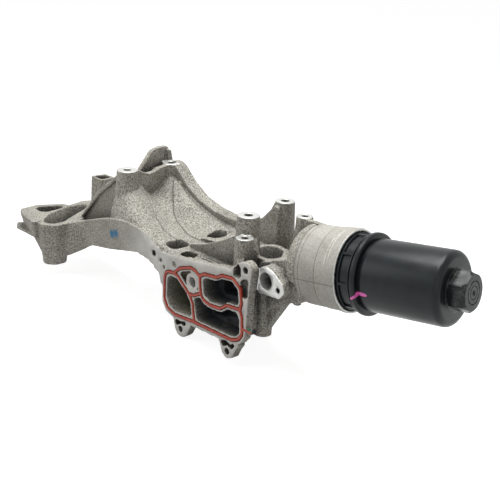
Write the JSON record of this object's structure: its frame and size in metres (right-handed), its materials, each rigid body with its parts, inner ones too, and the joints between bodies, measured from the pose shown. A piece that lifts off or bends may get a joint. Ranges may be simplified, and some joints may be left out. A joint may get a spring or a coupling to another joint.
{
  "type": "oil filter housing",
  "caption": "Cast aluminium oil filter housing with a cooler flange, a bossed bracket arm and a black screw cap over a pleated cartridge.",
  "frame": {"origin": "the centre threaded hole of the cooler flange, at the flange's face", "axes": "-Y out of the cooler flange, +Z out of the boss faces, +X along the bracket towards the cap"},
  "size_m": [0.5761, 0.1502, 0.1595],
  "materials": {
    "cast_aluminium": "as cast, speckled",
    "red_silicone": "satin",
    "black_nylon": "semi-matte moulded",
    "black_rubber": "matte",
    "filter_paper": "matte",
    "grey_plastic": "matte",
    "steel_parts": "zinc plated",
    "spring_steel": "drawn wire"
  },
  "bodies": {
    "casting": {"housing_casting": "cast_aluminium", "cooler_gasket": "red_silicone", "standpipe": "steel_parts", "check_seat": "steel_parts", "check_cage": "steel_parts", "check_spring": "spring_steel", "port_seals": "black_rubber", "gallery_plugs": "steel_parts"},
    "cartridge": {"element_media": "filter_paper", "element_outer_disc": "grey_plastic", "element_inner_disc": "grey_plastic", "element_core": "grey_plastic", "standpipe_seal": "black_rubber", "drain_seal": "black_rubber", "bypass_cage": "grey_plastic", "bypass_spring": "spring_steel"},
    "cap": {"filter_cap": "black_nylon", "cap_seal": "black_rubber"},
    "bypass": {"bypass_poppet": "grey_plastic"},
    "check": {"check_ball": "spring_steel"}
  },
  "joints": [
    {"name": "cartridge_lift", "type": "slide", "parent": "casting", "child": "cartridge", "axis": [0.9791, 0.1691, 0.1132], "range_m": [0, 0.012]},
    {"name": "cap_turn", "type": "hinge", "parent": "cartridge", "child": "cap", "pos_m": [0.16, 0.062, 0.05], "axis": [0.9791, 0.1691, 0.1132], "range_deg": [0, 1080]},
    {"name": "bypass_open", "type": "slide", "parent": "cartridge", "child": "bypass", "axis": [-0.9791, -0.1691, -0.1132], "range_m": [0, 0.004], "stiffness_N_per_m": 1500, "springref_m": -0.004, "deforming": ["bypass_spring"]},
    {"name": "check_open", "type": "slide", "parent": "casting", "child": "check", "axis": [0, -1, 0], "range_m": [0, 0.003], "stiffness_N_per_m": 300, "springref_m": -0.003, "deforming": ["check_spring"]}
  ],
  "couplings": [
    {"joint": "cartridge_lift", "follows": "cap_turn", "m_per_rad": 0.00063662}
  ]
}
